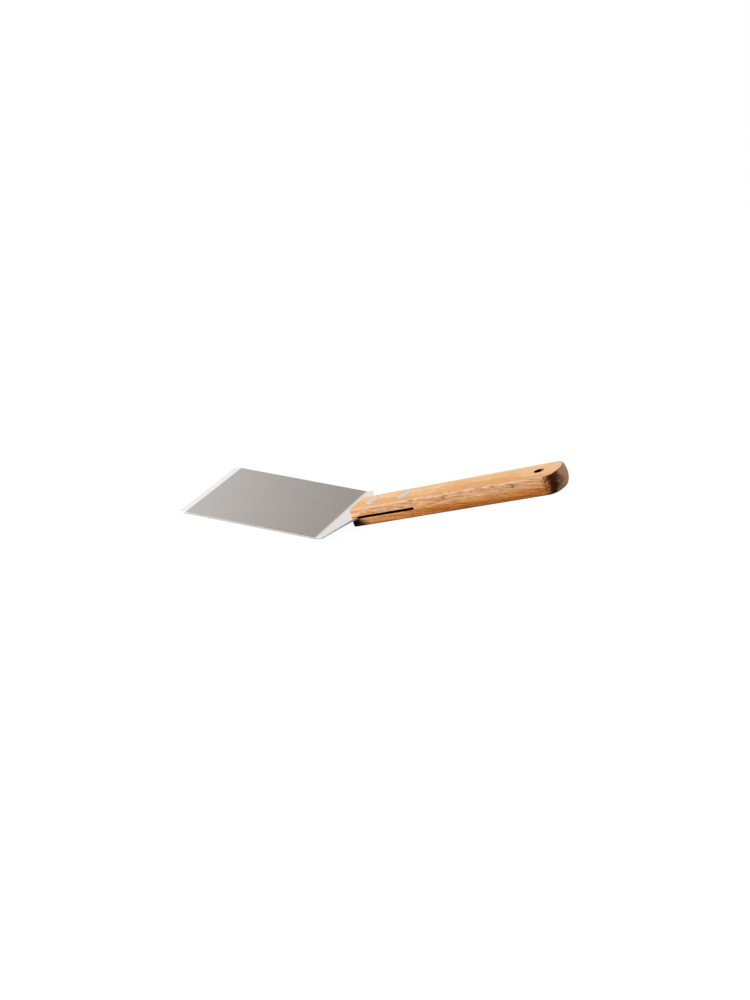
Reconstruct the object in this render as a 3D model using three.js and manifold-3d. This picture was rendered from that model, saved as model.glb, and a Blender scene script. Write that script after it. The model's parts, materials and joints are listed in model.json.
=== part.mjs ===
// Lasagna spatula. One stainless steel sheet makes the blade, the bent shoulder and the tang. The tang
// lies in a saw kerf in a one-piece wooden handle, and two flush two-piece rivets hold it there.
// Millimetres, +Z up, +X from the blade's tip to the handle. The origin is the centre of the blade's
// flat underside.
import * as THREE from "three";
import { mergeVertices, toCreasedNormals } from "three/addons/utils/BufferGeometryUtils.js";
import Module from "manifold-3d";

// Driving dimensions of the sheet
const SHEET_THICKNESS = 1.2;
const BLADE_WIDTH = 78.2;
const BLADE_FLAT_LENGTH = 98.1; // tip to the start of the bend
const TIP_BEVEL_LENGTH = 5.2; // ground on the upper face
const TIP_EDGE_THICKNESS = 0.35;
const BEND_RADIUS = 10; // on the upper face
const BEND_ANGLE = 20.2; // degrees
const SHOULDER_LENGTH = 2.7; // full width past the bend
const TAPER_LENGTH = 14.1; // from the full width to the tang's width
const TANG_WIDTH = 13;
const TANG_END_MARGIN = 9; // tang past the rear rivet's axis

// Driving dimensions of the handle
const HANDLE_SETBACK = 9.75; // end of the bend to the handle's front
const HANDLE_LENGTH = 148.3;
const HANDLE_THICKNESS = 12.5;
const HANDLE_FRONT_WIDTH = 22;
const HANDLE_BUTT_WIDTH = 27.6;
const HANDLE_EDGE_RADIUS = 1.6; // along the sides
const HANDLE_FRONT_EASE = 1.2; // chamfer round the front face
const BUTT_RADIUS = 23; // seen from above
const BUTT_CORNER_RADIUS = 6; // between the sides and the butt
const BUTT_CROWN_RADIUS = 12.5; // seen from the side
const HANG_HOLE_DIAMETER = 7;
const HANG_HOLE_INSET = 16.2; // hole's axis to the end of the butt
const KERF_CLEARANCE = 0.25; // above and below the tang
const KERF_END_GAP = 1.2; // past the tang's end

// Driving dimensions of the rivets
const RIVET_HEAD_DIAMETER = 9;
const RIVET_HEAD_HEIGHT = 1.6;
const RIVET_HEAD_PROUD = 0.1; // above the handle's faces
const RIVET_POST_DIAMETER = 3.6;
const RIVET_SLEEVE_WALL = 0.7;
const RIVET_END_GAP = 1; // between the post's end and the floor of the sleeve
const RIVET_CLEARANCE = 0.15; // round and under every rivet piece
const RIVET_INSET = 12.8; // front rivet's axis to the handle's front
const RIVET_PITCH = 23.6;

// Fineness of the round faces
const ROUND_SEGMENTS = 36;
const ARC_SEGMENTS = 6;
const BUTT_SEGMENTS = 12;
const CREASE_ANGLE = 30; // degrees

// Sizes that follow from the driving dimensions
const bend = THREE.MathUtils.degToRad(BEND_ANGLE);
const bendStartX = BLADE_FLAT_LENGTH / 2;
const tipX = bendStartX - BLADE_FLAT_LENGTH;
const bendCentreZ = SHEET_THICKNESS + BEND_RADIUS;
const rivetPlaces = { front: RIVET_INSET, rear: RIVET_INSET + RIVET_PITCH };
const tangEnd = rivetPlaces.rear + TANG_END_MARGIN;
const shoulderX = SHOULDER_LENGTH - HANDLE_SETBACK;
const sleeveBoreRadius = RIVET_POST_DIAMETER / 2 + RIVET_CLEARANCE;
const sleeveRadius = sleeveBoreRadius + RIVET_SLEEVE_WALL;
const rivetHoleRadius = sleeveRadius + RIVET_CLEARANCE;
const headTop = HANDLE_THICKNESS / 2 + RIVET_HEAD_PROUD;
const headSeat = headTop - RIVET_HEAD_HEIGHT;

// The grip's frame: X runs along the handle from its front face, Z is square to the tang, and Z = 0 is
// the middle of the tang's thickness.
const grip = new THREE.Group();
const tangRadius = BEND_RADIUS + SHEET_THICKNESS / 2;
grip.position.set(
  bendStartX + tangRadius * Math.sin(bend) + HANDLE_SETBACK * Math.cos(bend),
  0,
  bendCentreZ - tangRadius * Math.cos(bend) + HANDLE_SETBACK * Math.sin(bend),
);
grip.rotation.y = -bend;
grip.updateMatrix();

const wasm = await Module();
wasm.setup();

// A closed geometry as a solid that can be joined and cut
function solidFrom(geometry) {
  const bare = geometry.clone();
  bare.deleteAttribute("normal");
  bare.deleteAttribute("uv");
  const merged = mergeVertices(bare);
  const vertProperties = merged.attributes.position.array;
  const triVerts = new Uint32Array(merged.index.array);
  return new wasm.Manifold(new wasm.Mesh({ numProp: 3, vertProperties, triVerts }));
}

// A solid as a geometry, smooth over its round faces and sharp at its edges
function geometryFrom(solid) {
  const { vertProperties, triVerts } = solid.getMesh();
  const geometry = new THREE.BufferGeometry();
  geometry.setAttribute("position", new THREE.BufferAttribute(vertProperties, 3));
  geometry.setIndex(new THREE.BufferAttribute(triVerts, 1));
  return toCreasedNormals(geometry, THREE.MathUtils.degToRad(CREASE_ANGLE));
}

// A drill along Z, from the level low to the level high
function drill(radius, low, high) {
  const geometry = new THREE.CylinderGeometry(radius, radius, high - low, ROUND_SEGMENTS);
  return geometry.rotateX(Math.PI / 2).translate(0, 0, (low + high) / 2);
}

// A turned piece whose profile gives the radius and the level along Z
function turned(profile) {
  const points = profile.map(([radius, level]) => new THREE.Vector2(radius, level));
  return new THREE.LatheGeometry(points, ROUND_SEGMENTS).rotateX(Math.PI / 2);
}

// Side view of the sheet: ground tip, flat blade, round bend, and the tang up to its end
function sheetSection() {
  const lowerEnd = new THREE.Vector3(tangEnd, 0, -SHEET_THICKNESS / 2).applyMatrix4(grip.matrix);
  const upperEnd = new THREE.Vector3(tangEnd, 0, SHEET_THICKNESS / 2).applyMatrix4(grip.matrix);
  const down = -Math.PI / 2;
  const section = new THREE.Shape();
  section.moveTo(tipX, TIP_EDGE_THICKNESS);
  section.lineTo(tipX, 0);
  section.absarc(bendStartX, bendCentreZ, bendCentreZ, down, down + bend, false);
  section.lineTo(lowerEnd.x, lowerEnd.z);
  section.lineTo(upperEnd.x, upperEnd.z);
  section.absarc(bendStartX, bendCentreZ, BEND_RADIUS, down + bend, down, true);
  section.lineTo(tipX + TIP_BEVEL_LENGTH, SHEET_THICKNESS);
  return section;
}

// What is cut off the sheet on one side, so that its shoulder tapers to the tang; side is 1 or -1
function taperOffcut(side) {
  const past = SHEET_THICKNESS;
  const height = 4 * SHEET_THICKNESS;
  const outline = new THREE.Shape();
  outline.moveTo(shoulderX, (side * BLADE_WIDTH) / 2);
  outline.lineTo(shoulderX + TAPER_LENGTH, (side * TANG_WIDTH) / 2);
  outline.lineTo(tangEnd + past, (side * TANG_WIDTH) / 2);
  outline.lineTo(tangEnd + past, side * (BLADE_WIDTH / 2 + past));
  outline.lineTo(shoulderX, side * (BLADE_WIDTH / 2 + past));
  return new THREE.ExtrudeGeometry(outline, { depth: height, bevelEnabled: false })
    .translate(0, 0, -height / 2)
    .applyMatrix4(grip.matrix);
}

// Blade, shoulder and tang: a full-width bent strip, tapered at the shoulder and drilled for the rivets
function bladeGeometry() {
  const strip = new THREE.ExtrudeGeometry(sheetSection(), {
    depth: BLADE_WIDTH,
    bevelEnabled: false,
    curveSegments: ARC_SEGMENTS,
  });
  let blade = solidFrom(strip.rotateX(Math.PI / 2).translate(0, BLADE_WIDTH / 2, 0));
  for (const side of [-1, 1]) {
    blade = blade.subtract(solidFrom(taperOffcut(side)));
  }
  for (const x of Object.values(rivetPlaces)) {
    const hole = drill(rivetHoleRadius, -SHEET_THICKNESS, SHEET_THICKNESS);
    blade = blade.subtract(solidFrom(hole.translate(x, 0, 0).applyMatrix4(grip.matrix)));
  }
  return geometryFrom(blade);
}

// Plan of the handle at one level: eased front corners, straight sides that widen, and a butt of one
// wide arc with rounded corners. The draws are how far the sides and the butt lie inside their widest.
function handlePlan(sideDraw, buttDraw) {
  const flare = (HANDLE_BUTT_WIDTH - HANDLE_FRONT_WIDTH) / 2 / HANDLE_LENGTH;
  const flareAngle = Math.atan(flare);
  const frontHalfWidth = HANDLE_FRONT_WIDTH / 2 - sideDraw;
  const buttX = HANDLE_LENGTH - BUTT_RADIUS - buttDraw;
  // The corner arc's centre lies one corner radius inside both the side and the butt's arc.
  const inset = frontHalfWidth - BUTT_CORNER_RADIUS / Math.cos(flareAngle);
  const reach = BUTT_RADIUS - BUTT_CORNER_RADIUS;
  const a = 1 + flare ** 2;
  const b = buttX - flare * inset;
  const c = buttX ** 2 + inset ** 2 - reach ** 2;
  const cornerX = (b + Math.sqrt(b ** 2 - a * c)) / a;
  const cornerY = inset + flare * cornerX;
  const join = Math.atan2(cornerY, cornerX - buttX);
  const square = Math.PI / 2 + flareAngle;
  const radius = BUTT_CORNER_RADIUS;
  const corner = new THREE.EllipseCurve(cornerX, -cornerY, radius, radius, -square, -join);
  const butt = new THREE.EllipseCurve(buttX, 0, BUTT_RADIUS, BUTT_RADIUS, -join, join);
  const side = [
    new THREE.Vector2(0, HANDLE_FRONT_EASE - frontHalfWidth),
    new THREE.Vector2(HANDLE_FRONT_EASE, -frontHalfWidth - flare * HANDLE_FRONT_EASE),
    ...corner.getPoints(ARC_SEGMENTS),
  ];
  const otherSide = side.map(({ x, y }) => new THREE.Vector2(x, -y)).reverse();
  return [...side, ...butt.getPoints(BUTT_SEGMENTS).slice(1, -1), ...otherSide];
}

// A solid through plans that all have the same number of points, one plan for each level
function loft(plans, levels) {
  const count = plans[0].length;
  const top = count * (plans.length - 1);
  const positions = plans.flatMap((plan, i) => plan.flatMap(({ x, y }) => [x, y, levels[i]]));
  const index = [];
  for (let ring = 0; ring < top; ring += count) {
    for (let i = 0; i < count; i++) {
      const here = ring + i;
      const next = ring + ((i + 1) % count);
      index.push(here, next, next + count, here, next + count, here + count);
    }
  }
  for (const [a, b, c] of THREE.ShapeUtils.triangulateShape(plans[0], [])) {
    index.push(c, b, a);
  }
  for (const [a, b, c] of THREE.ShapeUtils.triangulateShape(plans.at(-1), [])) {
    index.push(top + a, top + b, top + c);
  }
  const geometry = new THREE.BufferGeometry();
  geometry.setAttribute("position", new THREE.Float32BufferAttribute(positions, 3));
  geometry.setIndex(index);
  return geometry;
}

// The handle's blank: flat faces, rounded edges along the sides, and a crowned butt
function handleBlank() {
  const edgeLevel = HANDLE_THICKNESS / 2 - HANDLE_EDGE_RADIUS;
  const upper = [];
  for (let step = 1; step < ARC_SEGMENTS; step++) {
    upper.push({ level: (edgeLevel * step) / ARC_SEGMENTS, sideDraw: 0 });
  }
  for (let step = 0; step <= ARC_SEGMENTS; step++) {
    const turn = ((Math.PI / 2) * step) / ARC_SEGMENTS;
    const level = edgeLevel + HANDLE_EDGE_RADIUS * Math.sin(turn);
    upper.push({ level, sideDraw: HANDLE_EDGE_RADIUS * (1 - Math.cos(turn)) });
  }
  const lower = upper.map(({ level, sideDraw }) => ({ level: -level, sideDraw })).reverse();
  const layers = [...lower, { level: 0, sideDraw: 0 }, ...upper];
  const plans = layers.map(({ level, sideDraw }) => {
    const buttDraw = BUTT_CROWN_RADIUS - Math.sqrt(BUTT_CROWN_RADIUS ** 2 - level ** 2);
    return handlePlan(sideDraw, buttDraw);
  });
  return loft(plans, layers.map(({ level }) => level));
}

// Wooden handle: rounded blank with an eased front, the kerf for the tang, the hang hole, and a stepped
// hole for each rivet
function handleGeometry() {
  const kerfLength = 2 * (tangEnd + KERF_END_GAP);
  const kerfHeight = SHEET_THICKNESS + 2 * KERF_CLEARANCE;
  const kerf = new THREE.BoxGeometry(kerfLength, 2 * HANDLE_BUTT_WIDTH, kerfHeight);
  const hangHole = drill(HANG_HOLE_DIAMETER / 2, -HANDLE_THICKNESS, HANDLE_THICKNESS);
  const offcuts = [kerf, hangHole.translate(HANDLE_LENGTH - HANG_HOLE_INSET, 0, 0)];
  // A square bar on its corner chamfers each level edge of the front face.
  const bar = HANDLE_FRONT_EASE * Math.SQRT2;
  for (const level of [-HANDLE_THICKNESS / 2, HANDLE_THICKNESS / 2]) {
    const chamfer = new THREE.BoxGeometry(bar, 2 * HANDLE_FRONT_WIDTH, bar).rotateY(Math.PI / 4);
    offcuts.push(chamfer.translate(0, 0, level));
  }
  const headHoleRadius = RIVET_HEAD_DIAMETER / 2 + RIVET_CLEARANCE;
  const headHoleFloor = headSeat - RIVET_CLEARANCE;
  for (const x of Object.values(rivetPlaces)) {
    offcuts.push(
      drill(rivetHoleRadius, -HANDLE_THICKNESS, HANDLE_THICKNESS).translate(x, 0, 0),
      drill(headHoleRadius, headHoleFloor, HANDLE_THICKNESS).translate(x, 0, 0),
      drill(headHoleRadius, -HANDLE_THICKNESS, -headHoleFloor).translate(x, 0, 0),
    );
  }
  let handle = solidFrom(handleBlank());
  for (const offcut of offcuts) {
    handle = handle.subtract(solidFrom(offcut));
  }
  return geometryFrom(handle);
}

// Upper half of a rivet: a flat head on a solid post
function postGeometry() {
  const headRadius = RIVET_HEAD_DIAMETER / 2;
  const postRadius = RIVET_POST_DIAMETER / 2;
  const postEnd = RIVET_END_GAP - headSeat;
  return turned([
    [0, postEnd],
    [postRadius, postEnd],
    [postRadius, headSeat],
    [headRadius, headSeat],
    [headRadius, headTop],
    [0, headTop],
  ]);
}

// Lower half of a rivet: a flat head on a tube, which takes the post
function sleeveGeometry() {
  const headRadius = RIVET_HEAD_DIAMETER / 2;
  const tubeTop = headSeat - RIVET_CLEARANCE;
  return turned([
    [0, -headTop],
    [headRadius, -headTop],
    [headRadius, -headSeat],
    [sleeveRadius, -headSeat],
    [sleeveRadius, tubeTop],
    [sleeveBoreRadius, tubeTop],
    [sleeveBoreRadius, -headSeat],
    [0, -headSeat],
  ]);
}

function piece(name, geometry, finish) {
  const mesh = new THREE.Mesh(geometry, new THREE.MeshStandardMaterial(finish));
  mesh.name = name;
  return mesh;
}

const brushedSteel = { color: 0xb8b5ae, roughness: 0.35, metalness: 1 };
const oiledWood = { color: 0xd9a066, roughness: 0.65, metalness: 0 };
const rivetMetal = { color: 0xced2d3, roughness: 0.3, metalness: 1 };

const spatula = new THREE.Group();
spatula.add(piece("blade", bladeGeometry(), brushedSteel), grip);
grip.add(piece("handle", handleGeometry(), oiledWood));
for (const [place, x] of Object.entries(rivetPlaces)) {
  const rivet = new THREE.Group();
  rivet.position.x = x;
  rivet.add(piece(`rivet_${place}_post`, postGeometry(), rivetMetal));
  rivet.add(piece(`rivet_${place}_sleeve`, sleeveGeometry(), rivetMetal));
  grip.add(rivet);
}

export default spatula;
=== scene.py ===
import json
import math

import bmesh
import bpy
from mathutils import Matrix, Vector


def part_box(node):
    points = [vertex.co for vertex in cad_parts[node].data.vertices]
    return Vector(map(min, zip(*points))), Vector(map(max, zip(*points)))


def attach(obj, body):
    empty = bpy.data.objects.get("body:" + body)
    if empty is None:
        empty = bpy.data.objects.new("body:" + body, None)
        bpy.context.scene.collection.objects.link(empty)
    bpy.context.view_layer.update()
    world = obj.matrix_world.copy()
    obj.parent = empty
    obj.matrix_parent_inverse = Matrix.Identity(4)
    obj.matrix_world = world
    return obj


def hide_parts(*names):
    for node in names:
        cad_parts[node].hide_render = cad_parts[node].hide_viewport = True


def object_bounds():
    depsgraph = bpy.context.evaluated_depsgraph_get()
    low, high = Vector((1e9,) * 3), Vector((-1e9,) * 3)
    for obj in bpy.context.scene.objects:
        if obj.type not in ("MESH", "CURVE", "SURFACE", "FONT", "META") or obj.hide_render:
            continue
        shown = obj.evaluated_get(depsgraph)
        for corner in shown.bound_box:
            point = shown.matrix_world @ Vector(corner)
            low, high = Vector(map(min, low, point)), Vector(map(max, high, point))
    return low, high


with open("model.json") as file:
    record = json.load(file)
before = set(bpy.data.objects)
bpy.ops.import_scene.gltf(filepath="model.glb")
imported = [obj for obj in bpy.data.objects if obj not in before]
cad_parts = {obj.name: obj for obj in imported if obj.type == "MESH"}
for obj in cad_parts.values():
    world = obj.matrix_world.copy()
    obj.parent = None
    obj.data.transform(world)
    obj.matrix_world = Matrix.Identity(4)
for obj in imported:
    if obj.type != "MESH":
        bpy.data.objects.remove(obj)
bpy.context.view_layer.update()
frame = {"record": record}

# The sheet is one blank of stainless steel, brushed along its length: a flat blade, a round bend, and a
# shoulder that tapers to a tang. It is cut flat, drilled for the rivets, ground to a bevel at the tip
# and bent last.
MM = 0.001
BEND_RADIUS = 10 * MM  # on the upper face
TIP_BEVEL_LENGTH = 5.2 * MM
TIP_EDGE_THICKNESS = 0.35 * MM
TIP_CORNER_RADIUS = 0.5 * MM
SHOULDER_LENGTH = 2.7 * MM  # full width past the bend
TAPER_LENGTH = 14.1 * MM
TANG_WIDTH = 13 * MM
TANG_END_MARGIN = 9 * MM  # past the rear rivet's axis
TANG_HOLE_RADIUS = 2.8 * MM
RIVET_INSET = 12.8 * MM  # front rivet's axis to the handle's front face
SHEET_EDGE_ROUND = 0.1 * MM  # what deburring leaves on the cut edges
SHEET_CREASE = 6  # degrees; the ground bevel meets the flat in a crisp line
SMOOTH_ANGLE = 35  # degrees; what is sharper stays a crisp edge on the other pieces
CUT_EDGE_ANGLE = 45  # degrees; the blank's cut edges are sharper than this
FLAT_STEPS = 12
BEND_STEPS = 24
ROWS_ACROSS = 24
TIP_CORNER_STEPS = 5
SHEET_EDGE_STEPS = 3


def rivet_middle(place):
    """The middle of a rivet's length, which lies in the middle of the tang's thickness."""
    corners = [*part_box(f"rivet_{place}_post"), *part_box(f"rivet_{place}_sleeve")]
    lowest = Vector(min(corner[axis] for corner in corners) for axis in range(3))
    highest = Vector(max(corner[axis] for corner in corners) for axis in range(3))
    return (lowest + highest) / 2


mount_levels = {mount["name"]: mount["pos_m"][2] for mount in frame["record"]["mounts"]}
sheet_thickness = mount_levels["blade_top"] - mount_levels["blade_underside"]
tip_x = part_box("blade")[0].x
blade_half_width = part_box("blade")[1].y
flat_length = -2 * tip_x
rivet_axis_front = rivet_middle("front")
rivet_axis_rear = rivet_middle("rear")
along_handle = (rivet_axis_rear - rivet_axis_front).normalized()
across = Vector((0, 1, 0))
above_handle = along_handle.cross(across)
bend_angle = math.atan2(along_handle.z, along_handle.x)
handle_front = rivet_axis_front - RIVET_INSET * along_handle
rivet_places = {"front": RIVET_INSET, "rear": RIVET_INSET + (rivet_axis_rear - rivet_axis_front).length}

# Places on the handle are given as lengths along it from its front face, across it, and above the tang.
handle_axes = Matrix((along_handle, across, above_handle)).transposed().to_4x4()
on_handle = Matrix.Translation(handle_front) @ handle_axes

bend_line_radius = BEND_RADIUS + sheet_thickness / 2
bend_length = bend_line_radius * bend_angle
bend_end = flat_length + bend_length
bend_end_point = Vector((
    tip_x + flat_length + bend_line_radius * math.sin(bend_angle),
    0,
    sheet_thickness + BEND_RADIUS - bend_line_radius * math.cos(bend_angle),
))
taper_end = bend_end + SHOULDER_LENGTH + TAPER_LENGTH
handle_front_along_sheet = bend_end + (handle_front - bend_end_point).dot(along_handle)
tang_end = handle_front_along_sheet + rivet_places["rear"] + TANG_END_MARGIN


def blank_half_width(s):
    """Half the width of the flat blank at a distance s from the tip."""
    share = (s - bend_end - SHOULDER_LENGTH) / TAPER_LENGTH
    return blade_half_width + (TANG_WIDTH / 2 - blade_half_width) * min(max(share, 0), 1)


def blank_level(s, share):
    """Height above the middle of the sheet, for a share of 0 on the lower face and 1 on the upper face."""
    grind = max(1 - s / TIP_BEVEL_LENGTH, 0) * (sheet_thickness - TIP_EDGE_THICKNESS)
    return (sheet_thickness - grind) * share - sheet_thickness / 2


def bent(s, y, level):
    """Where a point of the flat blank comes to lie when the sheet is bent."""
    if s > bend_end:
        return bend_end_point + (s - bend_end) * along_handle + y * across + level * above_handle
    turn = max(s - flat_length, 0) / bend_line_radius
    return Vector((
        tip_x + min(s, flat_length) + (bend_line_radius - level) * math.sin(turn),
        y,
        sheet_thickness + BEND_RADIUS - (bend_line_radius - level) * math.cos(turn),
    ))


def piece_from(work, name, smooth_angle=SMOOTH_ANGLE):
    """Makes an object of a bmesh, smooth over its round faces and sharp at its edges."""
    bmesh.ops.recalc_face_normals(work, faces=work.faces)
    mesh = bpy.data.meshes.new(name)
    work.to_mesh(mesh)
    work.free()
    mesh.shade_smooth()
    mesh.set_sharp_from_angle(angle=math.radians(smooth_angle))
    made = bpy.data.objects.new(name, mesh)
    bpy.context.scene.collection.objects.link(made)
    return made


def turned(name, profile, sides=96):
    """A piece turned about the Z axis, from radii and levels that start and end on the axis."""
    work = bmesh.new()
    rings = []
    for radius, level in profile:
        if radius == 0:
            rings.append([work.verts.new((0, 0, level))] * sides)
            continue
        turns = [2 * math.pi * i / sides for i in range(sides)]
        rings.append([work.verts.new((radius * math.cos(t), radius * math.sin(t), level)) for t in turns])
    for lower, upper in zip(rings, rings[1:]):
        for i in range(sides):
            j = (i + 1) % sides
            corners = [lower[i], lower[j], upper[j], upper[i]]
            work.faces.new(list(dict.fromkeys(corners)))
    return piece_from(work, name)


def ease_edges(work, edges, size, steps, clamp=False):
    """Rounds edges over by a size; a clamped one keeps within the faces beside it."""
    bmesh.ops.bevel(
        work, geom=edges, offset=size, segments=steps, profile=0.5, affect="EDGES", clamp_overlap=clamp
    )


def cut_from(piece, cutter, smooth_angle=SMOOTH_ANGLE):
    """Cuts the cutter's shape out of a piece and takes the cutter away."""
    cut = piece.modifiers.new("cut", "BOOLEAN")
    cut.operation = "DIFFERENCE"
    cut.solver = "EXACT"
    cut.object = cutter
    graph = bpy.context.evaluated_depsgraph_get()
    shape = bpy.data.meshes.new_from_object(piece.evaluated_get(graph))
    piece.modifiers.clear()
    piece.data = shape
    shape.shade_smooth()
    shape.set_sharp_from_angle(angle=math.radians(smooth_angle))
    bpy.data.objects.remove(cutter)


def even_flats(piece):
    """Keeps flat faces flat in the light right up to the round faces beside them."""
    weigh = piece.modifiers.new("even flats", "WEIGHTED_NORMAL")
    weigh.keep_sharp = True
    weigh.weight = 100


flat_step = (flat_length - TIP_BEVEL_LENGTH) / FLAT_STEPS
blade_stations = [0, TIP_BEVEL_LENGTH]
blade_stations += [TIP_BEVEL_LENGTH + flat_step * i for i in range(1, FLAT_STEPS)]
blade_stations += [flat_length + bend_length * i / BEND_STEPS for i in range(BEND_STEPS + 1)]
blade_stations += [bend_end + SHOULDER_LENGTH, taper_end, tang_end]

sheet = bmesh.new()
grid = []
for s in blade_stations:
    half = blank_half_width(s)
    row = [half * (2 * i / ROWS_ACROSS - 1) for i in range(ROWS_ACROSS + 1)]
    grid.append([[sheet.verts.new(bent(s, y, blank_level(s, face))) for y in row] for face in (0, 1)])
for (low_a, high_a), (low_b, high_b) in zip(grid, grid[1:]):
    for i in range(ROWS_ACROSS):
        sheet.faces.new((high_a[i], high_b[i], high_b[i + 1], high_a[i + 1]))
        sheet.faces.new((low_a[i], low_a[i + 1], low_b[i + 1], low_b[i]))
    for i in (0, -1):
        sheet.faces.new((low_a[i], low_b[i], high_b[i], high_a[i]))
for low, high in (grid[0], grid[-1]):
    for i in range(ROWS_ACROSS):
        sheet.faces.new((low[i], low[i + 1], high[i + 1], high[i]))
tip_corners = [sheet.edges.get((grid[0][0][i], grid[0][1][i])) for i in (0, -1)]
ease_edges(sheet, tip_corners, TIP_CORNER_RADIUS, TIP_CORNER_STEPS)
bmesh.ops.recalc_face_normals(sheet, faces=sheet.faces)
cut_edges = [edge for edge in sheet.edges if edge.calc_face_angle(0) > math.radians(CUT_EDGE_ANGLE)]
ease_edges(sheet, cut_edges, SHEET_EDGE_ROUND, SHEET_EDGE_STEPS, clamp=True)
blade = piece_from(sheet, "blade_sheet", SHEET_CREASE)
drill_reach = 2 * sheet_thickness
for place in rivet_places.values():
    tang_drill = turned("tang_drill", [
        (0, -drill_reach), (TANG_HOLE_RADIUS, -drill_reach),
        (TANG_HOLE_RADIUS, drill_reach), (0, drill_reach),
    ])
    tang_drill.data.transform(on_handle @ Matrix.Translation((place, 0, 0)))
    cut_from(blade, tang_drill, SHEET_CREASE)
even_flats(blade)


class Wire:
    """A socket of a finish. Sums on it add Math nodes, and node() adds any other node beside it."""

    def __init__(self, socket):
        self.socket = socket

    def node(self, kind, settings=(), sockets=(), output=0):
        """Adds a node, with its settings first and then the values or links of its sockets."""
        made = self.socket.id_data.nodes.new("ShaderNode" + kind)
        for name, value in dict(settings).items():
            setattr(made, name, value)
        plug(made, dict(sockets))
        shown = [socket for socket in made.outputs if socket.enabled]
        return Wire(made.outputs[output] if isinstance(output, str) else shown[output])

    def math(self, operation, *others):
        """A Math node on this value and on others."""
        return self.node("Math", {"operation": operation}, enumerate((self, *others)))

    def __add__(self, other):
        return self.math("ADD", other)

    def __sub__(self, other):
        return self.math("SUBTRACT", other)

    def __rsub__(self, other):
        return self.node("Math", {"operation": "SUBTRACT"}, {0: other, 1: self})

    def __mul__(self, other):
        return self.math("MULTIPLY", other)

    __radd__ = __add__
    __rmul__ = __mul__

    def size(self):
        """The value without its sign."""
        return self.math("ABSOLUTE")

    def rise(self, low, high):
        """0 at low, 1 at high and a smooth rise between them; high may be the smaller one."""
        return self.node("MapRange", {"interpolation_type": "SMOOTHSTEP"}, {
            "Value": self, "From Min": low, "From Max": high,
        })

    def band(self, start, full, fade, end):
        """A smooth rise from start to full, and a smooth fall from fade to end."""
        return self.rise(start, full) * (1 - self.rise(fade, end))

    def part(self, axis):
        """One of the parts X, Y and Z of a vector."""
        return self.node("SeparateXYZ", (), {0: self}, axis)

    def reach(self, direction):
        """How far a vector reaches in a direction."""
        return self.node("VectorMath", {"operation": "DOT_PRODUCT"}, {0: self, 1: direction}, "Value")

    def noise(self, pitch, detail=2.0, roughness=0.5, shift=(0, 0, 0)):
        """Noise on this place, whose lumps are about one pitch long along each axis."""
        place = self.node("Mapping", (), {0: self, "Location": shift, "Scale": [1 / size for size in pitch]})
        return self.node("TexNoise", {"normalize": True}, {
            "Vector": place, "Scale": 1.0, "Detail": detail, "Roughness": roughness,
        })

    def mix(self, colour_a, colour_b, blend="MIX"):
        """Colour a where this wire is 0 and colour b where it is 1."""
        return self.node("Mix", {"data_type": "RGBA", "blend_type": blend}, {
            "Factor": self, "A": colour_a, "B": colour_b,
        })


def plug(node, sockets):
    """Links a node's sockets to the wires given for them, and sets the others to plain values."""
    for name, value in sockets.items():
        named = [entry for entry in node.inputs if entry.name == name and entry.enabled]
        socket = node.inputs[name] if isinstance(name, int) else named[0]
        if isinstance(value, Wire):
            node.id_data.links.new(value.socket, socket)
        else:
            socket.default_value = value


def new_finish(name):
    """A material, its shader, and the place on the object in metres as the first wire."""
    finish = bpy.data.materials.new(name)
    finish.use_nodes = True
    shader = finish.node_tree.nodes["Principled BSDF"]
    coordinates = finish.node_tree.nodes.new("ShaderNodeTexCoord")
    return finish, shader, Wire(coordinates.outputs["Object"])


# The finish's lengths are in millimetres. Where the tang lies in the wood it is painted dark as the
# shade in the kerf, and the sheared edges are duller than the brushed faces.
STEEL = (0.71, 0.685, 0.667, 1)
STEEL_STREAK = (0.682, 0.658, 0.641, 1)
BEVEL_STEEL = (0.82, 0.81, 0.81, 1)
TANG_SHADE = (0.06, 0.05, 0.04, 1)  # painted shade where the tang lies in the kerf
FINE_BRUSHING_PITCH = (40, 0.25, 40)
BROAD_BRUSHING_PITCH = (160, 1.8, 160)
SMUDGE_PITCH = (28, 22, 22)
SHADE_START = (0.5, 1.5)  # behind the handle's front face
SHADE_END = (10.6, 11.4)  # to either side of the middle line

steel_finish, steel_shader, steel_place = new_finish("brushed steel")
steel_mm = steel_place.node("VectorMath", {"operation": "SCALE"}, {0: steel_place, "Scale": 1 / MM})
fine_brushing = steel_mm.noise(FINE_BRUSHING_PITCH, detail=3, roughness=0.6)
broad_brushing = steel_mm.noise(BROAD_BRUSHING_PITCH)
smudges = steel_mm.noise(SMUDGE_PITCH, detail=3, roughness=0.55)
brushing = fine_brushing * 0.55 + broad_brushing * 0.45
steel_colour = brushing.rise(0.3, 0.7).mix(STEEL_STREAK, STEEL)
bevel_line = (tip_x + TIP_BEVEL_LENGTH) / MM
ground = 1 - steel_mm.part("X").rise(bevel_line - 0.2, bevel_line + 0.1)
steel_colour = ground.mix(steel_colour, BEVEL_STEEL)
past_front = (steel_place.reach(along_handle) - handle_front.dot(along_handle)) * (1 / MM)
in_wood = past_front.rise(*SHADE_START) * (1 - steel_mm.part("Y").size().rise(*SHADE_END))
sheared = steel_place.node("TexCoord", (), (), "Normal").part("Y").size().rise(0.25, 0.6)
plug(steel_shader, {
    "Base Color": in_wood.mix(steel_colour, TANG_SHADE),
    "Metallic": 1.0,
    "Roughness": 0.27 + (brushing - 0.5) * 0.05 + (smudges - 0.5) * 0.05 + sheared * 0.3,
    "Anisotropic": 0.85,
    "Normal": steel_mm.node("Bump", (), {
        "Strength": 0.06, "Distance": 0.004 * MM, "Height": fine_brushing,
    }),
})
blade.data.materials.append(steel_finish)
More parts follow.
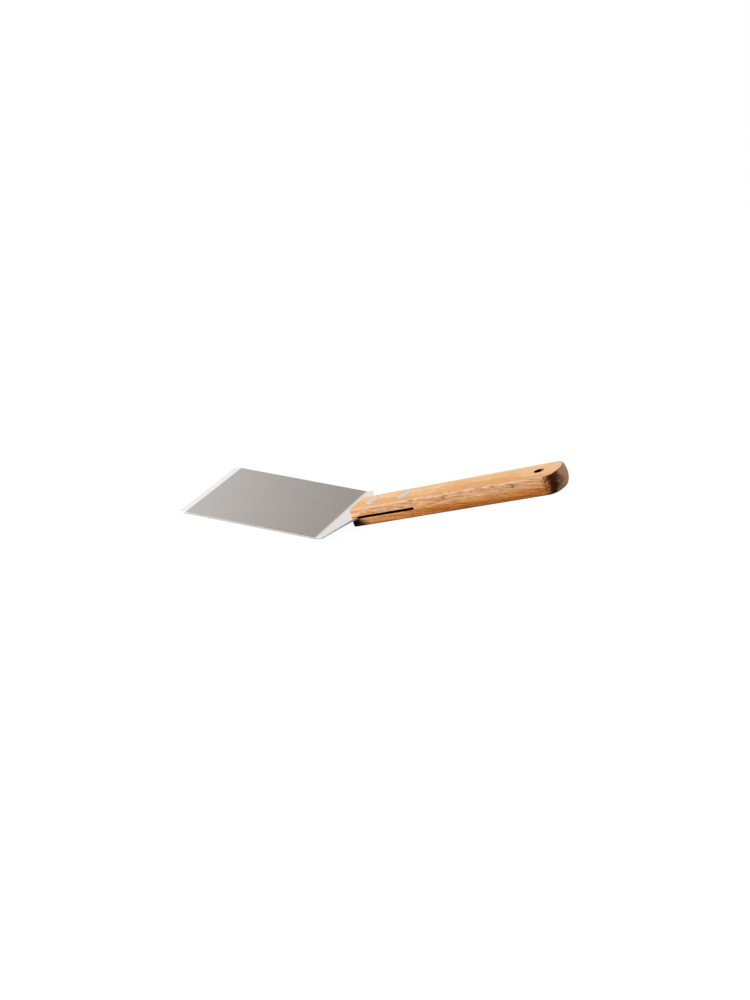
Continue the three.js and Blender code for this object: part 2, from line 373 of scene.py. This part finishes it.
# The brushing spreads the light across the blade. The mesh's texture space, which lies far off along it,
# turns the shader that way.
blade.data.use_auto_texspace = False
blade.data.texspace_location = (10, 0, 0)
blade.data.texspace_size = (1, 1, 1)
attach(blade, "root")
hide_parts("blade")

# The handle is one stick of light open-grained hardwood, shaped on a spindle cutter with its edges
# rounded over, sawn up the middle for the tang, drilled, sanded and oiled.
HANDLE_LENGTH = 148.3 * MM
HANDLE_THICKNESS = 12.5 * MM
HANDLE_FRONT_WIDTH = 22 * MM
HANDLE_BUTT_WIDTH = 27.6 * MM
HANDLE_EDGE_RADIUS = 1.6 * MM  # along the sides
HANDLE_FRONT_EASE = 1.1 * MM
BUTT_RADIUS = 23 * MM  # seen from above
BUTT_CORNER_RADIUS = 6 * MM  # between the sides and the butt
BUTT_CROWN_RADIUS = 12.5 * MM  # seen from the side
BUTT_EDGE_ROUND = 0.35 * MM
KERF_CLEARANCE = 0.25 * MM
KERF_END_GAP = 1.2 * MM
HANG_HOLE_RADIUS = 3.35 * MM
HANG_HOLE_INSET = 16.2 * MM  # hole's axis to the end of the butt
HANG_HOLE_EASE = 0.15 * MM
HEAD_HOLE_RADIUS = 4.53 * MM
HEAD_HOLE_DEPTH = 1.65 * MM
CROWN_STEPS = 10
EDGE_STEPS = 8
CORNER_STEPS = 12
BUTT_STEPS = 40
BUTT_EDGE_STEPS = 4
FRONT_EASE_STEPS = 6

flare = (HANDLE_BUTT_WIDTH - HANDLE_FRONT_WIDTH) / 2 / HANDLE_LENGTH


def handle_plan(side_draw, butt_draw):
    """The handle's outline from above at one level, from one front corner round the butt to the other."""
    flare_angle = math.atan(flare)
    front_half = HANDLE_FRONT_WIDTH / 2 - side_draw
    butt_x = HANDLE_LENGTH - BUTT_RADIUS - butt_draw
    # The corner arc's centre lies one corner radius inside both the side and the butt's arc.
    inset = front_half - BUTT_CORNER_RADIUS / math.cos(flare_angle)
    reach = BUTT_RADIUS - BUTT_CORNER_RADIUS
    a = 1 + flare ** 2
    b = butt_x - flare * inset
    c = butt_x ** 2 + inset ** 2 - reach ** 2
    corner_x = (b + math.sqrt(b ** 2 - a * c)) / a
    corner_y = inset + flare * corner_x
    join = math.atan2(corner_y, corner_x - butt_x)
    square = math.pi / 2 + flare_angle
    side = [(0, -front_half)]
    for i in range(CORNER_STEPS + 1):
        turn = -square + (square - join) * i / CORNER_STEPS
        x = corner_x + BUTT_CORNER_RADIUS * math.cos(turn)
        side.append((x, -corner_y + BUTT_CORNER_RADIUS * math.sin(turn)))
    turns = [join * (2 * i / BUTT_STEPS - 1) for i in range(1, BUTT_STEPS)]
    butt = [(butt_x + BUTT_RADIUS * math.cos(turn), BUTT_RADIUS * math.sin(turn)) for turn in turns]
    return [*side, *butt, *[(x, -y) for x, y in reversed(side)]]


edge_level = HANDLE_THICKNESS / 2 - HANDLE_EDGE_RADIUS
upper_half = [(edge_level * i / CROWN_STEPS, 0) for i in range(1, CROWN_STEPS)]
for i in range(EDGE_STEPS + 1):
    turn = math.pi / 2 * i / EDGE_STEPS
    side_draw = HANDLE_EDGE_RADIUS * (1 - math.cos(turn))
    upper_half.append((edge_level + HANDLE_EDGE_RADIUS * math.sin(turn), side_draw))
lower_half = [(-level, side_draw) for level, side_draw in reversed(upper_half)]

stick = bmesh.new()
layers = []
for level, side_draw in [*lower_half, (0, 0), *upper_half]:
    crown = BUTT_CROWN_RADIUS - math.sqrt(BUTT_CROWN_RADIUS ** 2 - level ** 2)
    layers.append([stick.verts.new((x, y, level)) for x, y in handle_plan(side_draw, crown)])
for lower, upper in zip(layers, layers[1:]):
    for i in range(len(lower) - 1):
        stick.faces.new((lower[i], lower[i + 1], upper[i + 1], upper[i]))
stick.faces.new(layers[0])
stick.faces.new(layers[-1])
stick.faces.new([layer[0] for layer in layers] + [layer[-1] for layer in reversed(layers)])
bmesh.ops.recalc_face_normals(stick, faces=stick.faces)
butt_rims = []
for layer in (layers[0], layers[-1]):
    butt_rims += [stick.edges.get(pair) for pair in zip(layer[1:-1], layer[2:-1])]
ease_edges(stick, butt_rims, BUTT_EDGE_ROUND, BUTT_EDGE_STEPS)
front_rim = [edge for edge in stick.edges if all(vert.co.x == 0 for vert in edge.verts)]
ease_edges(stick, front_rim, HANDLE_FRONT_EASE, FRONT_EASE_STEPS)
handle = piece_from(stick, "handle_wood")

kerf = bmesh.new()
bmesh.ops.create_cube(kerf, size=1)
kerf_depth = rivet_places["rear"] + TANG_END_MARGIN + KERF_END_GAP
kerf_width = sheet_thickness + 2 * KERF_CLEARANCE
bmesh.ops.scale(kerf, verts=kerf.verts, vec=(2 * kerf_depth, 2 * HANDLE_BUTT_WIDTH, kerf_width))
cut_from(handle, piece_from(kerf, "kerf_saw"))


def mouth(radius, ease, steps=5):
    """A drill's profile from the middle of the handle to past its face, with the hole's mouth eased."""
    face = HANDLE_THICKNESS / 2
    round_mouth = []
    for i in range(steps + 1):
        turn = math.pi / 2 * i / steps
        round_mouth.append((radius + ease * (1 - math.cos(turn)), face - ease * (1 - math.sin(turn))))
    return round_mouth + [(radius + ease, face + HANDLE_THICKNESS), (0, face + HANDLE_THICKNESS)]


def drill_handle(name, place, upper_profile):
    """Drills the handle from both faces, at a place along it, with the profile of the upper half."""
    lower_profile = [(radius, -level) for radius, level in reversed(upper_profile)]
    drill = turned(name, lower_profile + upper_profile)
    drill.data.transform(Matrix.Translation((place, 0, 0)))
    cut_from(handle, drill)


drill_handle("hang_drill", HANDLE_LENGTH - HANG_HOLE_INSET, mouth(HANG_HOLE_RADIUS, HANG_HOLE_EASE))
head_floor = HANDLE_THICKNESS / 2 - HEAD_HOLE_DEPTH
for place in rivet_places.values():
    drill_handle("rivet_drill", place, [
        (TANG_HOLE_RADIUS, head_floor), (HEAD_HOLE_RADIUS, head_floor),
        (HEAD_HOLE_RADIUS, HANDLE_THICKNESS), (0, HANDLE_THICKNESS),
    ])
handle.data.transform(on_handle)
even_flats(handle)

# The wood's pitches and places are in millimetres along, across and above the handle.
PALE_WOOD = (0.88, 0.56, 0.305, 1)
ORANGE_WOOD = (0.78, 0.395, 0.148, 1)
# Painted highlight on the near side's upper edge.
ROSY_SHEEN = (0.75, 0.475, 0.31, 1)
LIGHT_WOOD = (0.97, 0.585, 0.31, 1)
AMBER_WOOD = (0.86, 0.395, 0.132, 1)
DEEP_WOOD = (0.56, 0.20, 0.040, 1)
LATE_TINT = (0.58, 0.41, 0.28, 1)
FLECK_WOOD = (0.72, 0.27, 0.05, 1)
PORE = (0.17, 0.055, 0.025, 1)
KNOT_WOOD = (0.20, 0.15, 0.085, 1)
# End-grain colours: the near one is painted shade, the far one and its flecks are painted light.
END_WOOD_SHADED = (0.085, 0.024, 0.004, 1)
END_WOOD_LIT = (0.55, 0.255, 0.127, 1)
END_FLECK = (0.86, 0.58, 0.41, 1)
# Painted shadow of the sheet on the handle's front corner.
SHEET_SHADOW_WOOD = (0.014, 0.004, 0.001, 1)
# Painted shade inside the hang hole and the kerf, lighter and darker.
RECESS_SHADE_WOOD = (0.32, 0.105, 0.018, 1)
DARK_RECESS_SHADE_WOOD = (0.010, 0.004, 0.002, 1)
GRAIN_SLANT = 0.085  # radians, down towards the butt
RINGS_PER_MM = 0.74
SWAY_PITCH = (70, 14, 14)
TONE_PITCH = (48, 6, 5)
FIBRE_PITCH = (16, 0.6, 0.6)
STREAK_PITCH = (38, 2.4, 2.0)
DARK_STREAK_PITCH = (12, 1.3, 0.8)
SPECK_PITCH = (3.4, 0.9, 0.7)
PORE_PITCH = (7, 0.7, 0.45)
FLECK_PITCH = (1.0, 0.9, 1.8)
FLECK_PATCH_PITCH = (22, 9, 4)
END_CELL_PITCH = (6, 0.65, 0.65)
END_PATCH_PITCH = (5, 3.5, 3.5)
SHADE_MOTTLE_PITCH = (1.3, 1.3, 1.3)
KNOT_PLACE = (118.4, -13.2, 3.6)
BUTT_START = 138.5  # along the handle, where the sides turn into the butt
BORDER_MIDDLE = 80  # along the handle, about which the border of the darker lower tone slants


def handle_place(place):
    """A place on the object as millimetres along, across and above the handle."""
    return place.node("Mapping", {"vector_type": "TEXTURE"}, {
        0: place, "Location": handle_front, "Rotation": (0, -bend_angle, 0), "Scale": (MM, MM, MM),
    })


wood_finish, wood_shader, wood_place = new_finish("oiled hardwood")
wood_mm = handle_place(wood_place)
along, sideways, level = [wood_mm.part(axis) for axis in "XYZ"]
depth = sideways + HANDLE_FRONT_WIDTH / 2 / MM + along * flare  # from the near side
on_face = level.rise(4.2, 5.4)  # 1 on the upper face, 0 on the sides and below
grain = wood_mm.node("Mapping", (), {0: wood_mm, "Rotation": (0, -GRAIN_SLANT, 0)})
sway = wood_mm.noise(SWAY_PITCH)
tone = wood_mm.noise(TONE_PITCH, detail=3, shift=(7, 3, 1))
fibre = grain.noise(FIBRE_PITCH, detail=3, roughness=0.65)
streaks = grain.noise(STREAK_PITCH, shift=(11, 2, 4))

# Towards the lower side the stick's colour turns from pale into a darker, deeper orange, in uneven streaks.
lower_tone = level + along.band(2, 12, 20, 62) * 1.5 + (tone - 0.5) * 5.0
pale_share = lower_tone.rise(-1.5, 2.4)
side_colour = pale_share.mix(AMBER_WOOD, LIGHT_WOOD)
deep = (1 - lower_tone.rise(-4.5, -0.5)) * (along.rise(15, 70) * 0.9 + 0.1) * level.rise(-7.0, -3.8)
side_colour = deep.mix(side_colour, DEEP_WOOD)
warm_stretch = along.band(52, 75, 110, 126)
pale = depth + (tone - 0.5) * 14.0 + (streaks - 0.5) * 26.0 - warm_stretch * 7.0
face_colour = pale.rise(0.0, 14.0).mix(ORANGE_WOOD, PALE_WOOD)
wood_colour = on_face.mix(side_colour, face_colour)
# The near side's rounded upper edge is painted rosy as a highlight.
edge = (level + (streaks - 0.5) * 5.0).rise(3.4, 5.6) * (1 - depth.rise(0.9, 2.4))
wood_colour = edge.mix(wood_colour, ROSY_SHEEN)


def tinted(colour, mask, side_share, face_share):
    """A colour with the tint of late wood in a mask, by one share on the sides and one on the face."""
    share = side_share - on_face * (side_share - face_share)
    return (mask * share).mix(colour, LATE_TINT, "MULTIPLY")


# The year rings show as fine dark lines, and the open pores as short dashes where they are cut through.
ring = grain.part("Z") + depth * 0.9 + (sway - 0.5) * 4.0 + (fibre - 0.5) * 1.6
ring_share = (ring * RINGS_PER_MM).math("FRACT")
late = ring_share.band(0.15, 0.80, 0.82, 1.0) * streaks.rise(0.35, 0.60)
dark_streaks = grain.noise(DARK_STREAK_PITCH, detail=3, roughness=0.65, shift=(4, 9, 2)).rise(0.56, 0.40)
specks = grain.noise(SPECK_PITCH, detail=3, roughness=0.7, shift=(14, 3, 8)).rise(0.47, 0.37)
wood_colour = tinted(wood_colour, late * (1 - pale_share * 0.5), 0.88, 0.14)
wood_colour = tinted(wood_colour, dark_streaks, 0.50, 0.14)
wood_colour = tinted(wood_colour, fibre.rise(0.54, 0.36), 0.42, 0.26)
wood_colour = tinted(wood_colour, specks, 0.56, 0.30)
slanting = level + (along - BORDER_MIDDLE) * GRAIN_SLANT
border = slanting.band(0.2, 1.4, 2.6, 3.8) * along.rise(40, 55)
border = border + level.band(0.6, 1.2, 2.4, 3.4) * along.band(4, 10, 40, 55)
dashes = grain.noise(PORE_PITCH, roughness=0.55, shift=(31, 5, 9)).rise(0.54, 0.62)
open_pores = border * 0.5 + edge * (along.rise(35, 60) * 0.75 + 0.25) + 0.3 - on_face * 0.18
pores = dashes * open_pores.math("MINIMUM", 1.0)
fleck_patches = wood_mm.noise(FLECK_PATCH_PITCH, detail=1, shift=(5, 1, 6)).rise(0.42, 0.54)
flecks = wood_mm.noise(FLECK_PITCH, detail=0, shift=(2, 8, 4)).rise(0.58, 0.68) * border * fleck_patches
to_knot = wood_mm.node("VectorMath", {"operation": "DISTANCE"}, {0: wood_mm, 1: KNOT_PLACE}, "Value")
knot = 1 - (to_knot + (fibre - 0.5) * 1.8).rise(0.5, 1.9)
wood_colour = (flecks * 0.75).mix(wood_colour, FLECK_WOOD)
wood_colour = (pores * 0.8).mix(wood_colour, PORE)
wood_colour = (knot * 0.8).mix(wood_colour, KNOT_WOOD)

# The butt is end grain, which takes up oil and turns darker, unevenly. On top of that its near side is
# painted dark as shade and its far side is painted lighter, with pale flecks, as light; the dark mottles
# where the sides turn into the butt are partly end grain and partly painted shade.
facing = wood_place.node("TexCoord", (), (), "Normal")
off_faces = 1 - facing.reach(above_handle).size().rise(0.75, 0.95)
cells = wood_mm.noise(END_CELL_PITCH, roughness=0.6, shift=(3, 3, 3))
patches = wood_mm.noise(END_PATCH_PITCH, roughness=0.6, shift=(8, 1, 5))
mottle = (cells - 0.5) * 0.35 + (patches - 0.5) * 0.8
turning = (along + mottle * 5.0).rise(BUTT_START - 2.0, BUTT_START + 2.5) * off_faces
wood_colour = (turning * 0.9).mix(wood_colour, DEEP_WOOD)
shade_mottles = wood_mm.noise(SHADE_MOTTLE_PITCH, roughness=0.6, shift=(6, 4, 7)).rise(0.41, 0.57) * turning
wood_colour = (shade_mottles * 0.8).mix(wood_colour, END_WOOD_SHADED)
end_grain = (facing.reach(along_handle) + mottle).rise(0.10, 0.55) * off_faces
far_end = (sideways + mottle * 14.0 + level.rise(-1.0, -5.0) * 3.5).rise(-10.0, -1.5)
end_colour = far_end.mix(END_WOOD_SHADED, END_WOOD_LIT)
end_colour = (cells.rise(0.48, 0.62) * far_end * 0.8).mix(end_colour, END_FLECK)
end_colour = (ring_share.rise(0.45, 0.95) * 0.32).mix(end_colour, LATE_TINT, "MULTIPLY")
wood_colour = (end_grain * 0.95).mix(wood_colour, end_colour)

# The front corner under the sheet is painted dark as the sheet's shadow, and the kerf and the hang hole are
# painted dark as the shade inside them, darkest deep in and on the hole's side towards the front.
kerf_end = kerf_depth / MM
kerf_half = kerf_width / 2 / MM
hole_wall = HANG_HOLE_RADIUS / MM
sheet_shadow = 1 - (along + (level + 3.0) * 1.25).rise(3.2, 12.8)
sheet_shadow = sheet_shadow * (1 - level.rise(-1.2, -0.8))
wood_colour = sheet_shadow.mix(wood_colour, SHEET_SHADOW_WOOD)
in_kerf = 1 - level.size().rise(kerf_half + 0.01, kerf_half + 0.04)
in_kerf = in_kerf * (1 - along.rise(kerf_end, kerf_end + 0.1))
hole_place = wood_mm.node("VectorMath", {"operation": "MULTIPLY_ADD"}, {
    0: wood_mm, 1: (1, 1, 0), 2: ((HANG_HOLE_INSET - HANDLE_LENGTH) / MM, 0, 0),
})
from_axis = hole_place.node("VectorMath", {"operation": "LENGTH"}, {0: hole_place}, "Value")
in_hole = 1 - from_axis.rise(hole_wall + 0.01, hole_wall + HANG_HOLE_EASE / MM)
below_face = HANDLE_THICKNESS / 2 / MM - level.size()
most_shaded = (below_face * 0.4 - hole_place.part("X")).rise(-0.6, 1.4)
recess_shade_colour = most_shaded.mix(RECESS_SHADE_WOOD, DARK_RECESS_SHADE_WOOD)
recess_shade = in_kerf.math("MAXIMUM", in_hole)
plug(wood_shader, {
    "Base Color": recess_shade.mix(wood_colour, recess_shade_colour),
    "Roughness": 0.50 + (fibre - 0.5) * 0.2 + pores * 0.2 + end_grain * 0.15,
    "Specular IOR Level": 0.06,
    "Normal": wood_mm.node("Bump", (), {
        "Strength": 0.5, "Distance": 0.05 * MM, "Height": fibre * 0.5 - pores * 1.2 - late * 0.2,
    }),
})
handle.data.materials.append(wood_finish)
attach(handle, "root")
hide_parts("handle")

# Two compression rivets of aluminium hold the handle on the tang. Each is a headed post pressed from
# above into a headed sleeve from below; the heads lie flush in the wood and are sanded with it.
HEAD_RADIUS = 4.5 * MM
HEAD_HEIGHT = 1.6 * MM
HEAD_PROUD = 0.1 * MM
HEAD_EDGE_ROUND = 0.22 * MM
HEAD_EDGE_STEPS = 5
POST_RADIUS = 1.8 * MM
SLEEVE_BORE_RADIUS = 1.95 * MM
SLEEVE_RADIUS = 2.65 * MM
POST_END_GAP = 1 * MM
SLEEVE_END_GAP = 0.15 * MM
RIVET_METAL = (0.68, 0.70, 0.71, 1)
RIVET_SCRATCH = (0.56, 0.58, 0.59, 1)
SANDING_PITCH = (9, 0.16, 0.16)  # mm
DULLING_PITCH = (3, 2.4, 2.4)

head_top = HANDLE_THICKNESS / 2 + HEAD_PROUD
head_seat = head_top - HEAD_HEIGHT
rounded_head = [(HEAD_RADIUS, head_seat)]
for i in range(HEAD_EDGE_STEPS + 1):
    turn = math.pi / 2 * i / HEAD_EDGE_STEPS
    rounded_head.append((
        HEAD_RADIUS - HEAD_EDGE_ROUND * (1 - math.cos(turn)),
        head_top - HEAD_EDGE_ROUND * (1 - math.sin(turn)),
    ))
rounded_head.append((0, head_top))
post_end = POST_END_GAP - head_seat
sleeve_top = head_seat - SLEEVE_END_GAP
post_profile = [(0, post_end), (POST_RADIUS, post_end), (POST_RADIUS, head_seat), *rounded_head]
sleeve_profile = [(radius, -level) for radius, level in reversed(rounded_head)]
sleeve_profile += [
    (SLEEVE_RADIUS, -head_seat), (SLEEVE_RADIUS, sleeve_top), (SLEEVE_BORE_RADIUS, sleeve_top),
    (SLEEVE_BORE_RADIUS, -head_seat), (0, -head_seat),
]

rivet_finish, rivet_shader, rivet_place = new_finish("sanded aluminium")
rivet_mm = handle_place(rivet_place)
sanding = rivet_mm.noise(SANDING_PITCH, detail=3, roughness=0.6)
dulling = rivet_mm.noise(DULLING_PITCH)
plug(rivet_shader, {
    "Base Color": sanding.rise(0.3, 0.72).mix(RIVET_SCRATCH, RIVET_METAL),
    "Metallic": 1.0,
    "Roughness": 0.34 + (sanding - 0.5) * 0.2 + (dulling - 0.5) * 0.15,
    "Normal": rivet_mm.node("Bump", (), {
        "Strength": 0.3, "Distance": 0.006 * MM, "Height": sanding,
    }),
})
for name, place in rivet_places.items():
    for half, profile in (("post", post_profile), ("sleeve", sleeve_profile)):
        rivet = turned(f"rivet_{name}_{half}_turned", profile)
        rivet.data.transform(on_handle @ Matrix.Translation((place, 0, 0)))
        rivet.data.materials.append(rivet_finish)
        even_flats(rivet)
        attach(rivet, "root")
        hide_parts(f"rivet_{name}_{half}")

# The floor is a wide white table top. The spatula stands on its tip and on the lower front edge of its
# handle, a little lower than the tip, so the floor slopes by under a degree to touch both. Looked at or
# mirrored it is white with a faint shadow, and it throws little light back on the wood.
FLOOR_REACH = 30
FLOOR_WHITE = (0.9, 0.9, 0.9, 1)
FLOOR_SHADE = (0.05, 0.05, 0.05, 1)  # what the floor throws back on the spatula
FLOOR_GLOW = 0.92  # share of the floor's look that doesn't take shadow
GLOW_STRENGTH = 1.05

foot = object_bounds()[0].z
foot_x = (on_handle @ Vector((HANDLE_FRONT_EASE, 0, -HANDLE_THICKNESS / 2))).x
floor_slope = foot / (foot_x - tip_x)
floor_work = bmesh.new()
corners = [(-FLOOR_REACH, -FLOOR_REACH), (FLOOR_REACH, -FLOOR_REACH)]
corners += [(FLOOR_REACH, FLOOR_REACH), (-FLOOR_REACH, FLOOR_REACH)]
floor_work.faces.new([floor_work.verts.new((x, y, floor_slope * (x - tip_x))) for x, y in corners])
floor = piece_from(floor_work, "floor")
if floor.data.polygons[0].normal.z < 0:
    floor.data.flip_normals()
floor_finish, floor_shader, floor_place = new_finish("white table top")
seen, mirrored, through, bounces = [floor_place.node("LightPath", (), (), ray) for ray in (
    "Is Camera Ray", "Is Glossy Ray", "Is Transmission Ray", "Diffuse Depth",
)]
looked_at = (seen + mirrored + through).math("MINIMUM", 1.0) * (1 - bounces.math("MINIMUM", 1.0))
plug(floor_shader, {
    "Base Color": looked_at.mix(FLOOR_SHADE, FLOOR_WHITE), "Roughness": 0.9, "Specular IOR Level": 0.1,
})
floor_look = floor_place.node("MixShader", (), {
    0: looked_at * FLOOR_GLOW,
    1: Wire(floor_shader.outputs["BSDF"]),
    2: floor_place.node("Emission", (), {"Color": (1, 1, 1, 1), "Strength": GLOW_STRENGTH}),
})
plug(floor_finish.node_tree.nodes["Material Output"], {"Surface": floor_look})
floor.data.materials.append(floor_finish)

# The light is a plain studio: a white wall to the left, a white backdrop low behind, a rim light low at
# the back right, a dim room elsewhere, and one tall soft lamp from the front left that models the handle.
# Past the floor's end the camera sees white.
WALL = (0.98, 0.98, 0.98, 1)
WALL_EDGE = (-0.525, -0.375)  # how far to the right a direction points there
BACKDROP = (0.95, 0.95, 0.95, 1)
RIM = (4.8, 4.7, 4.6, 1)
BACK_ROOM = (0.335, 0.300, 0.268, 1)
FRONT_ROOM = (0.23, 0.22, 0.21, 1)
BACKGROUND = (1, 1, 1, 1)
KEY_DIRECTION = Vector((-0.70, -0.65, 0.30))
KEY_DISTANCE = 1.5
KEY_WIDTH = 0.8
KEY_HEIGHT = 1.2
KEY_POWER = 33.0

studio = bpy.data.worlds.new("studio")
studio.use_nodes = True
studio_light = studio.node_tree.nodes["Background"]
coordinates = studio.node_tree.nodes.new("ShaderNodeTexCoord")
direction = Wire(coordinates.outputs["Generated"])
to_right, to_back, to_top = [direction.part(axis) for axis in "XYZ"]
light = to_back.rise(0.0, 0.4).mix(FRONT_ROOM, BACK_ROOM)
rim = to_back.rise(0.26, 0.62) * to_right.rise(0.0, 0.4) * (1 - to_top.rise(0.25, 0.55))
light = rim.mix(light, RIM)
backdrop = to_back.rise(0.0, 0.5) * (1 - to_top.rise(0.18, 0.36)) * (1 - to_right.rise(0.0, 0.2))
light = backdrop.mix(light, BACKDROP)
wall = 1 - to_right.rise(*WALL_EDGE)
light = wall.mix(light, WALL)
light = direction.node("LightPath", (), (), "Is Camera Ray").mix(light, BACKGROUND)
plug(studio_light, {"Color": light, "Strength": 1.0})
bpy.context.scene.world = studio

key_lamp = bpy.data.lights.new("key lamp", "AREA")
key_lamp.shape = "RECTANGLE"
key_lamp.size = KEY_WIDTH
key_lamp.size_y = KEY_HEIGHT
key_lamp.energy = KEY_POWER
key = bpy.data.objects.new("key lamp", key_lamp)
key.location = KEY_DIRECTION.normalized() * KEY_DISTANCE
key.rotation_euler = KEY_DIRECTION.to_track_quat("Z", "Y").to_euler()
bpy.context.scene.collection.objects.link(key)

# The camera looks down on the spatula from the front right, from about an arm's length and a half.
CAMERA_AZIMUTH = math.radians(24.28)
CAMERA_ELEVATION = math.radians(24.65)
CAMERA_DISTANCE = 1281.95 * MM
CAMERA_AIM = Vector((73.89 * MM, -0.52 * MM, 15.82 * MM))
CAMERA_LENS = 72.03

back = Vector((
    math.sin(CAMERA_AZIMUTH) * math.cos(CAMERA_ELEVATION),
    -math.cos(CAMERA_AZIMUTH) * math.cos(CAMERA_ELEVATION),
    math.sin(CAMERA_ELEVATION),
))
camera_data = bpy.data.cameras.new("camera")
camera_data.lens = CAMERA_LENS
camera = bpy.data.objects.new("camera", camera_data)
camera.location = CAMERA_AIM + CAMERA_DISTANCE * back
camera.rotation_euler = back.to_track_quat("Z", "Y").to_euler()
bpy.context.scene.collection.objects.link(camera)
bpy.context.scene.camera = camera
bpy.context.scene.view_settings.view_transform = "Standard"
